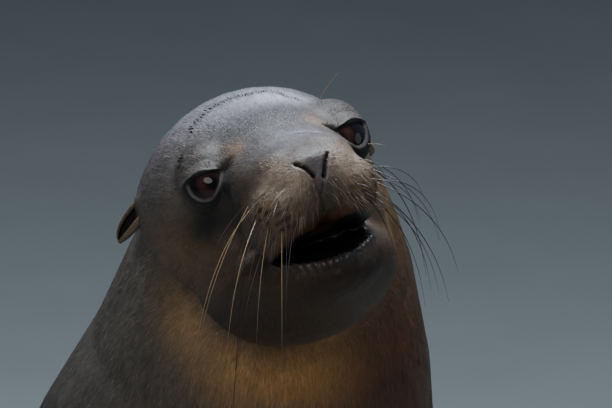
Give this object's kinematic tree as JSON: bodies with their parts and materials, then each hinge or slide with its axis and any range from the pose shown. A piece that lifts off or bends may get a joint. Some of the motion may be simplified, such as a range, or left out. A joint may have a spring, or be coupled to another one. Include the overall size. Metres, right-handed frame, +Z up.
{
  "type": "sea lion figure",
  "caption": "Life-size still sea lion sitting upright on its fore flippers, with the head turned and lifted, the mouth slightly open and small rolled ears.",
  "frame": {"origin": "on the floor, under the middle of the outline seen from above", "axes": "-Y is the way the animal faces, +X is its left side, +Z is up"},
  "size_m": [0.9806, 1.0826, 0.8377],
  "materials": {
    "fur": "wet short fur, glossy",
    "leather": "bare wet skin, glossy",
    "ear": "thin furred skin",
    "eye": "wet and clear",
    "claw": "smooth horn"
  },
  "bodies": {
    "root": {"belly": "fur", "chest": "fur", "claw_left_1": "claw", "claw_left_2": "claw", "claw_left_3": "claw", "claw_right_1": "claw", "claw_right_2": "claw", "claw_right_3": "claw", "ear_left": "ear", "ear_right": "ear", "eye_left": "eye", "eye_right": "eye", "fore_flipper_left": "leather", "fore_flipper_right": "leather", "head": "fur", "hind_flipper_left": "leather", "hind_flipper_right": "leather", "hips": "fur", "lower_jaw": "fur", "neck": "fur", "nose": "leather", "tail": "fur"}
  },
  "joints": []
}
